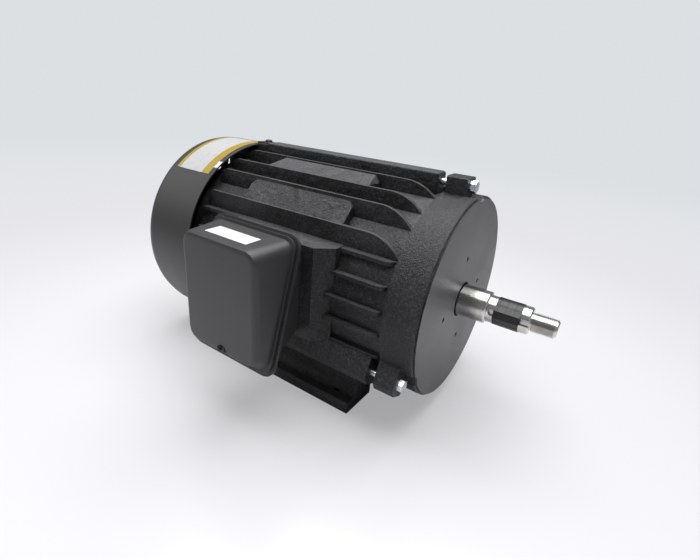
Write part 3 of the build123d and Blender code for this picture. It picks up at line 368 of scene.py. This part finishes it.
zinc_paint = Paint("bright_zinc_plate")
zinc_cloud = zinc_paint.noise(320.0, 4.0, 0.6)
zinc_paint.set(
    Base_Color=zinc_paint.mix(zinc_paint.within(zinc_cloud, 0.45, 0.75), zinc_blue, zinc_dull),
    Roughness=zinc_paint.within(zinc_cloud, 0.3, 0.7, 0.20, 0.38),
    Normal=zinc_paint.bump(zinc_paint.noise(2600.0, 2.0), 0.00006),
    Metallic=1.0,
)
dress(zinc_paint, "drive_end_bolts", "drive_end_washers", "box_mounting_screws")


# Fan cover. Sheet steel drawn into a drum with its rear edge rounded and slots punched in
# the rear wall. It has a satin black powder coat, smooth with a very fine orange peel.
powder_black = (0.026, 0.026, 0.0262, 1.0)
powder_grey = (0.034, 0.034, 0.0345, 1.0)


def powder_coat(name, dark, light, peel):
    paint = Paint(name)
    cloud = paint.noise(18.0, 3.0)
    skin = paint.noise(1500.0, 2.0)
    paint.set(
        Base_Color=paint.mix(paint.within(cloud, 0.35, 0.7), dark, light),
        Roughness=paint.within(0.5 * skin + 0.5 * cloud, 0.35, 0.65, 0.40, 0.50),
        Normal=paint.bump(skin, peel),
    )
    return paint.set(Specular_IOR_Level=0.5)


cover_paint = powder_coat("satin_black_powder", powder_black, powder_grey, 0.00010)
fan_cover = cast_copy("fan_cover", "fan_cover_drum", 0.0003)
finish_piece(fan_cover, "stator", "fan_cover", cover_paint)


# Label place on the fan cover. A printed foil wraps over the top of the drum, glued down.
# Here it is bare: white, with a yellow band along its front and rear edges.
drum_radius = 0.10912
foil_rear_x, foil_front_x = -0.3160, -0.2645
foil_low_angle, foil_high_angle = 42.5, -2.5
foil_step = 2.5
foil_thickness = 0.00012
foil_white = (0.50, 0.50, 0.51, 1.0)
foil_scuffed = (0.40, 0.40, 0.405, 1.0)
foil_yellow = (0.36, 0.26, 0.022, 1.0)
rear_band, front_band = 0.0050, 0.0110


def drum_patch(name, rear_x, front_x, low_angle, high_angle):
    """Thin foil on the drum. Angles are from the top towards the terminal box."""
    bpy.ops.object.select_all(action="DESELECT")
    bpy.ops.mesh.primitive_cylinder_add(
        vertices=int(360 / foil_step), radius=drum_radius, depth=front_x - rear_x, end_fill_type="NOTHING",
        location=((rear_x + front_x) / 2, 0.0, 0.0), rotation=(0.0, math.radians(90.0), 0.0),
    )
    patch = bpy.context.object
    patch.name = name
    bpy.ops.object.transform_apply(location=True, rotation=True)
    bpy.ops.object.mode_set(mode="EDIT")
    bpy.ops.mesh.select_all(action="DESELECT")
    shape = bmesh.from_edit_mesh(patch.data)
    for vert in shape.verts:
        angle = math.degrees(math.atan2(-vert.co.y, vert.co.z))
        vert.select = not (high_angle - 0.1 < angle < low_angle + 0.1)
    shape.select_flush_mode()
    bmesh.update_edit_mesh(patch.data)
    bpy.ops.mesh.delete(type="VERT")
    bpy.ops.mesh.select_all(action="SELECT")
    bpy.ops.mesh.subdivide(number_cuts=1)
    shape = bmesh.from_edit_mesh(patch.data)
    for vert in shape.verts:
        around = vert.co.yz.normalized() * drum_radius
        vert.co.y, vert.co.z = around
    bmesh.update_edit_mesh(patch.data)
    bpy.ops.mesh.normals_make_consistent(inside=False)
    bpy.ops.object.mode_set(mode="OBJECT")
    sheet = patch.modifiers.new("sheet", "SOLIDIFY")
    sheet.thickness, sheet.offset = foil_thickness, 1.0
    bpy.ops.object.modifier_apply(modifier="sheet")
    bpy.ops.object.shade_smooth_by_angle(angle=math.radians(30.0))
    return patch


foil_paint = Paint("white_foil_yellow_bands")
foil_x = foil_paint.axis("X")
foil_bands = (foil_x < foil_rear_x + rear_band) + (foil_x > foil_front_x - front_band)
foil_scuff = foil_paint.within(foil_paint.noise(140.0, 5.0, 0.65), 0.50, 0.78)
foil_paint.set(
    Base_Color=foil_paint.mix(foil_bands, foil_paint.mix(foil_scuff, foil_white, foil_scuffed), foil_yellow),
    Roughness=foil_paint.within(foil_scuff, 0.0, 1.0, 0.30, 0.46),
    Normal=foil_paint.bump(foil_paint.noise(260.0, 2.0), 0.00008),
)
foil = drum_patch("fan_cover_label", foil_rear_x, foil_front_x, foil_low_angle, foil_high_angle)
foil.data.materials.append(foil_paint.material)
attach(foil, "stator")


# Check sticker. A small bare white tab near the cover's rim, just below the label.
tab_rear_x, tab_front_x = -0.2662, -0.2592
tab_low_angle, tab_high_angle = 37.5, 32.5
paper_white = (0.70, 0.70, 0.71, 1.0)
paper_soiled = (0.58, 0.58, 0.58, 1.0)

tab_paint = Paint("white_paper")
tab_soil = tab_paint.within(tab_paint.noise(420.0, 4.0), 0.45, 0.75)
tab_paint.set(
    Base_Color=tab_paint.mix(tab_soil, paper_white, paper_soiled),
    Roughness=tab_paint.within(tab_soil, 0.0, 1.0, 0.42, 0.60),
    Normal=tab_paint.bump(tab_paint.noise(1800.0, 3.0), 0.00004),
)
tab = drum_patch("check_sticker", tab_rear_x, tab_front_x, tab_low_angle, tab_high_angle)
tab.data.materials.append(tab_paint.material)
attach(tab, "stator")


# Terminal box. Base and cover are pressed sheet steel, with stepped rims that meet on a
# slanted line, in the same satin powder coat a shade greyer. One sunk screw holds the cover.
box_black = (0.029, 0.029, 0.0305, 1.0)
box_grey = (0.040, 0.040, 0.042, 1.0)

box_paint = powder_coat("satin_grey_powder", box_black, box_grey, 0.00009)
box_cover = cast_copy("conduit_box_cover", "terminal_box_cover", 0.0007)
finish_piece(box_cover, "stator", "conduit_box_cover", box_paint)
box_base = cast_copy("conduit_box_base", "terminal_box_base", 0.0005)
finish_piece(box_base, "stator", "conduit_box_base", box_paint)


# Label place on the terminal box. A bare white paper label on top of the cover.
plate_middle = (-0.1440, -0.1490)
plate_size = (0.0465, 0.0160)
plate_height = 0.05995
plate_slope = 0.025

bpy.ops.object.select_all(action="DESELECT")
bpy.ops.mesh.primitive_plane_add(size=1.0)
plate = bpy.context.object
plate.name = "terminal_box_label"
bpy.ops.object.mode_set(mode="EDIT")
bpy.ops.transform.resize(value=(plate_size[0], plate_size[1], 1.0))
bpy.ops.mesh.bevel(offset=0.0008, segments=3, affect="VERTICES")
bpy.ops.transform.translate(value=(plate_middle[0], plate_middle[1], plate_height))
shape = bmesh.from_edit_mesh(plate.data)
for vert in shape.verts:
    vert.co.z += (vert.co.y - plate_middle[1]) * plate_slope
bmesh.update_edit_mesh(plate.data)
bpy.ops.object.mode_set(mode="OBJECT")
sheet = plate.modifiers.new("sheet", "SOLIDIFY")
sheet.thickness, sheet.offset = foil_thickness, 1.0
bpy.ops.object.modifier_apply(modifier="sheet")
plate.data.materials.append(tab_paint.material)
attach(plate, "stator")


# Shaft. Turned and ground steel with a milled keyway. The threaded end is turned down to
# the thread's root here, and the thread itself is the next piece.
thread_start_x = 0.0639
thread_crest, thread_root_radius = 0.0090, 0.0078
shaft_root_radius = 0.01505
steel_light = (0.64, 0.62, 0.60, 1.0)
steel_stained = (0.40, 0.38, 0.36, 1.0)


def ground_steel(name, lines, light, stained):
    """Ground steel: fine rings left by the wheel, and lengthwise streaks of dried oil."""
    paint = Paint(name)
    rings = (paint.axis("X") * lines).sine()
    streak = paint.noise(420.0, 3.0, 0.6, (0.06, 1.0, 1.0))
    film = paint.within(0.7 * streak + 0.3 * paint.noise(240.0, 4.0, 0.6), 0.48, 0.66)
    paint.set(
        Base_Color=paint.mix(film, light, stained),
        Roughness=paint.within(film, 0.0, 1.0, 0.16, 0.30),
        Normal=paint.bump(rings * 0.1 + streak, 0.00003),
        Metallic=1.0,
    )
    return paint


shaft_paint = ground_steel("ground_shaft_steel", 12000.0, steel_light, steel_stained)
shaft = cast_copy("shaft", "shaft_ground", 0.0003)
bpy.ops.object.mode_set(mode="EDIT")
shape = bmesh.from_edit_mesh(shaft.data)
for vert in shape.verts:
    radius = vert.co.yz.length
    if vert.co.x > thread_start_x and radius < thread_crest + 0.0002:
        vert.co.y *= thread_root_radius / thread_crest
        vert.co.z *= thread_root_radius / thread_crest
    elif vert.co.x > -0.0001 and radius > shaft_root_radius:
        vert.co.y *= shaft_root_radius / radius
        vert.co.z *= shaft_root_radius / radius
bmesh.update_edit_mesh(shaft.data)
bpy.ops.object.mode_set(mode="OBJECT")
finish_piece(shaft, "rotor", "shaft", shaft_paint)
dress(shaft_paint, "shaft_key")


# Shaft thread. A fine rolled thread, 18 mm across, swept as one ridge round the shaft end.
thread_pitch = 0.0015
thread_crest_half, thread_foot_half = 0.07, 0.47
thread_turns = 13
thread_first_x = 0.0652
thread_steps = 40

bpy.ops.object.select_all(action="DESELECT")
bpy.ops.mesh.primitive_plane_add(size=1.0)
thread = bpy.context.object
thread.name = "shaft_thread_ridge"
bpy.ops.object.mode_set(mode="EDIT")
bpy.ops.mesh.delete(type="ONLY_FACE")
shape = bmesh.from_edit_mesh(thread.data)
for vert in shape.verts:
    at_crest = vert.co.y > 0.0
    half = (thread_crest_half if at_crest else thread_foot_half) * thread_pitch
    height = thread_crest if at_crest else thread_root_radius - 0.0001
    vert.co = (thread_first_x + math.copysign(half, vert.co.x), 0.0, height)
bmesh.update_edit_mesh(thread.data)
bpy.ops.object.mode_set(mode="OBJECT")
sweep = thread.modifiers.new("sweep", "SCREW")
sweep.axis, sweep.screw_offset, sweep.iterations = "X", thread_pitch, thread_turns
sweep.steps = sweep.render_steps = thread_steps
sweep.use_merge_vertices = False
bpy.ops.object.modifier_apply(modifier="sweep")
bpy.ops.object.mode_set(mode="EDIT")
bpy.ops.mesh.select_all(action="SELECT")
bpy.ops.mesh.remove_doubles(threshold=0.000001)
bpy.ops.mesh.fill_holes(sides=6)
bpy.ops.mesh.select_all(action="SELECT")
bpy.ops.mesh.normals_make_consistent(inside=False)
bpy.ops.object.mode_set(mode="OBJECT")
bpy.ops.object.shade_smooth_by_angle(angle=math.radians(25.0))
thread_paint = ground_steel("rolled_thread_steel", 900.0, steel_light, steel_stained)
thread.data.materials.append(thread_paint.material)
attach(thread, "rotor")


# Key tape. Black vinyl tape wound tightly over the key, so it is flat beside the key and
# stands over its corners. Its winding edges show as faint steps.
tape_black = (0.0045, 0.0045, 0.005, 1.0)
tape_grey = (0.012, 0.012, 0.013, 1.0)

tape_paint = Paint("black_vinyl_tape")
tape_edges = tape_paint.within((tape_paint.axis("X") * 900.0 + tape_paint.axis("Z") * 40.0).sine(), 0.94, 1.0)
tape_film = tape_paint.within(tape_paint.noise(300.0, 3.0), 0.4, 0.7)
tape_paint.set(
    Base_Color=tape_paint.mix(tape_film, tape_black, tape_grey),
    Roughness=tape_paint.within(tape_film, 0.0, 1.0, 0.34, 0.46),
    Normal=tape_paint.bump(tape_edges + 0.4 * tape_paint.noise(500.0, 2.0), 0.00008),
)
tape = cast_copy("key_tape", "key_tape_wound", 0.0004, 20.0)
finish_piece(tape, "rotor", "key_tape", tape_paint)


# Cover and fan-end screws. Steel, with a cross slot, blacked with oxide and oil.
# On the fan-end screws, seen in the gap at the fan end, the black is also painted shade.
oxide_black = (0.018, 0.018, 0.019, 1.0)
oxide_brown = (0.045, 0.042, 0.040, 1.0)

oxide_paint = Paint("black_oxide")
oxide_wear = oxide_paint.within(oxide_paint.noise(900.0, 4.0), 0.5, 0.8)
oxide_paint.set(
    Base_Color=oxide_paint.mix(oxide_wear, oxide_black, oxide_brown),
    Roughness=oxide_paint.within(oxide_wear, 0.0, 1.0, 0.30, 0.48),
    Normal=oxide_paint.bump(oxide_paint.noise(2400.0, 2.0), 0.00005),
    Metallic=0.6,
)
# The dark finish on the fan-end screws also stands in for the shade in the gap between drum and frame.
dress(oxide_paint, "fan_cover_screws", "cover_screw", "fan_end_screws")


# Stator and rotor cores. Stacks of thin sheet-steel laminations, varnished. The edges of
# the sheets show as fine lines across the stack.
core_grey = (0.20, 0.20, 0.21, 1.0)
core_varnish = (0.11, 0.10, 0.09, 1.0)
sheet_lines = 12500.0

core_paint = Paint("varnished_laminations")
sheet_edges = (core_paint.axis("X") * sheet_lines).sine()
core_film = core_paint.within(core_paint.noise(90.0, 4.0), 0.4, 0.75)
core_paint.set(
    Base_Color=core_paint.mix(core_film, core_grey, core_varnish),
    Roughness=core_paint.within(core_film, 0.0, 1.0, 0.36, 0.55),
    Normal=core_paint.bump(sheet_edges, 0.00005),
    Metallic=0.8,
)
dress(core_paint, "stator_core", "rotor_core")


# Stator winding. Enamelled copper wire in coils, bound and dipped in amber varnish.
copper_red = (0.36, 0.13, 0.045, 1.0)
varnish_amber = (0.17, 0.06, 0.018, 1.0)

winding_paint = Paint("varnished_copper_wire")
wire_rows = (winding_paint.from_shaft() * 5200.0 + winding_paint.noise(45.0, 2.0) * 9.0).sine()
winding_film = winding_paint.within(winding_paint.noise(120.0, 4.0), 0.35, 0.7)
winding_paint.set(
    Base_Color=winding_paint.mix(winding_film, copper_red, varnish_amber),
    Roughness=winding_paint.within(winding_film, 0.0, 1.0, 0.24, 0.42),
    Normal=winding_paint.bump(wire_rows, 0.0003),
)
dress(winding_paint, "stator_winding")


# Rotor cage. Aluminium cast through the rotor core, with rings and mixing blades.
cast_light = (0.56, 0.57, 0.58, 1.0)
cast_dull = (0.38, 0.385, 0.39, 1.0)

cage_paint = Paint("die_cast_aluminium")
cage_skin = cage_paint.noise(220.0, 5.0, 0.6)
cage_paint.set(
    Base_Color=cage_paint.mix(cage_paint.within(cage_skin, 0.4, 0.7), cast_light, cast_dull),
    Roughness=cage_paint.within(cage_skin, 0.3, 0.7, 0.38, 0.56),
    Normal=cage_paint.bump(cage_skin, 0.0003),
    Metallic=1.0,
)
dress(cage_paint, "rotor_cage")


# Ball bearings. Hardened chrome steel, ground, with pressed shields at both sides.
race_light = (0.62, 0.62, 0.63, 1.0)
race_oiled = (0.44, 0.43, 0.41, 1.0)
bearing_paint = ground_steel("ground_bearing_steel", 20000.0, race_light, race_oiled)
for bearing in ("drive", "fan"):
    for ring in ("outer_race", "inner_race", "balls"):
        dress(bearing_paint, f"{bearing}_bearing_{ring}")


# Spring steel parts. The snap ring, wave spring and fan clip are stamped, hardened and
# left dark with oil.
spring_dark = (0.13, 0.13, 0.135, 1.0)
spring_light = (0.24, 0.23, 0.22, 1.0)
spring_paint = ground_steel("oiled_spring_steel", 7000.0, spring_light, spring_dark)
dress(spring_paint, "bearing_snap_ring", "wave_spring", "fan_clip")


# Rubber parts. The shaft seal, both box gaskets and the lead grommet are moulded nitrile,
# matt with a dusty bloom.
rubber_black = (0.012, 0.012, 0.012, 1.0)
rubber_bloom = (0.040, 0.040, 0.041, 1.0)

rubber_paint = Paint("matt_nitrile_rubber")
bloom = rubber_paint.within(rubber_paint.noise(180.0, 5.0, 0.6), 0.45, 0.75)
rubber_paint.set(
    Base_Color=rubber_paint.mix(bloom, rubber_black, rubber_bloom),
    Roughness=rubber_paint.within(bloom, 0.0, 1.0, 0.55, 0.75),
    Normal=rubber_paint.bump(rubber_paint.noise(1600.0, 3.0), 0.00008),
)
dress(rubber_paint, "shaft_seal", "conduit_box_gasket", "cover_gasket", "lead_grommet")


# Cooling fan and terminal block. Moulded plastics: a filled black nylon fan, and a black
# phenolic block with the same faint mould grain.
nylon_black = (0.016, 0.016, 0.017, 1.0)
nylon_fibre = (0.034, 0.034, 0.035, 1.0)

moulded_paint = Paint("moulded_black_plastic")
fibre = moulded_paint.noise(260.0, 4.0, 0.6, (1.0, 3.0, 3.0))
moulded_paint.set(
    Base_Color=moulded_paint.mix(moulded_paint.within(fibre, 0.45, 0.75), nylon_black, nylon_fibre),
    Roughness=moulded_paint.within(fibre, 0.3, 0.7, 0.38, 0.54),
    Normal=moulded_paint.bump(moulded_paint.noise(1100.0, 3.0), 0.00010),
)
dress(moulded_paint, "cooling_fan", "terminal_block")


# Terminal studs and ground screw. Turned brass, bright with darker handling marks.
brass_light = (0.70, 0.50, 0.17, 1.0)
brass_dark = (0.42, 0.28, 0.09, 1.0)

brass_paint = Paint("turned_brass")
brass_tarnish = brass_paint.within(brass_paint.noise(420.0, 4.0), 0.45, 0.75)
brass_paint.set(
    Base_Color=brass_paint.mix(brass_tarnish, brass_light, brass_dark),
    Roughness=brass_paint.within(brass_tarnish, 0.0, 1.0, 0.22, 0.40),
    Normal=brass_paint.bump((brass_paint.axis("Y") * 9000.0).sine(), 0.00003),
    Metallic=1.0,
)
dress(brass_paint, "terminal_studs", "ground_screw")


# Motor leads. A bundle in woven glass sleeving, soaked with varnish.
sleeve_cream = (0.52, 0.45, 0.28, 1.0)
sleeve_brown = (0.30, 0.22, 0.10, 1.0)
weave_pitch = 3000.0

sleeve_paint = Paint("woven_glass_sleeve")
over = (sleeve_paint.axis("Y") * weave_pitch).sine()
under = ((sleeve_paint.axis("X") + sleeve_paint.axis("Z")) * weave_pitch).sine()
sleeve_soak = sleeve_paint.within(sleeve_paint.noise(140.0, 4.0), 0.4, 0.7)
sleeve_paint.set(
    Base_Color=sleeve_paint.mix(sleeve_soak, sleeve_cream, sleeve_brown),
    Roughness=sleeve_paint.within(sleeve_soak, 0.0, 1.0, 0.50, 0.72),
    Normal=sleeve_paint.bump(over * under, 0.0002),
)
dress(sleeve_paint, "lead_bundle")
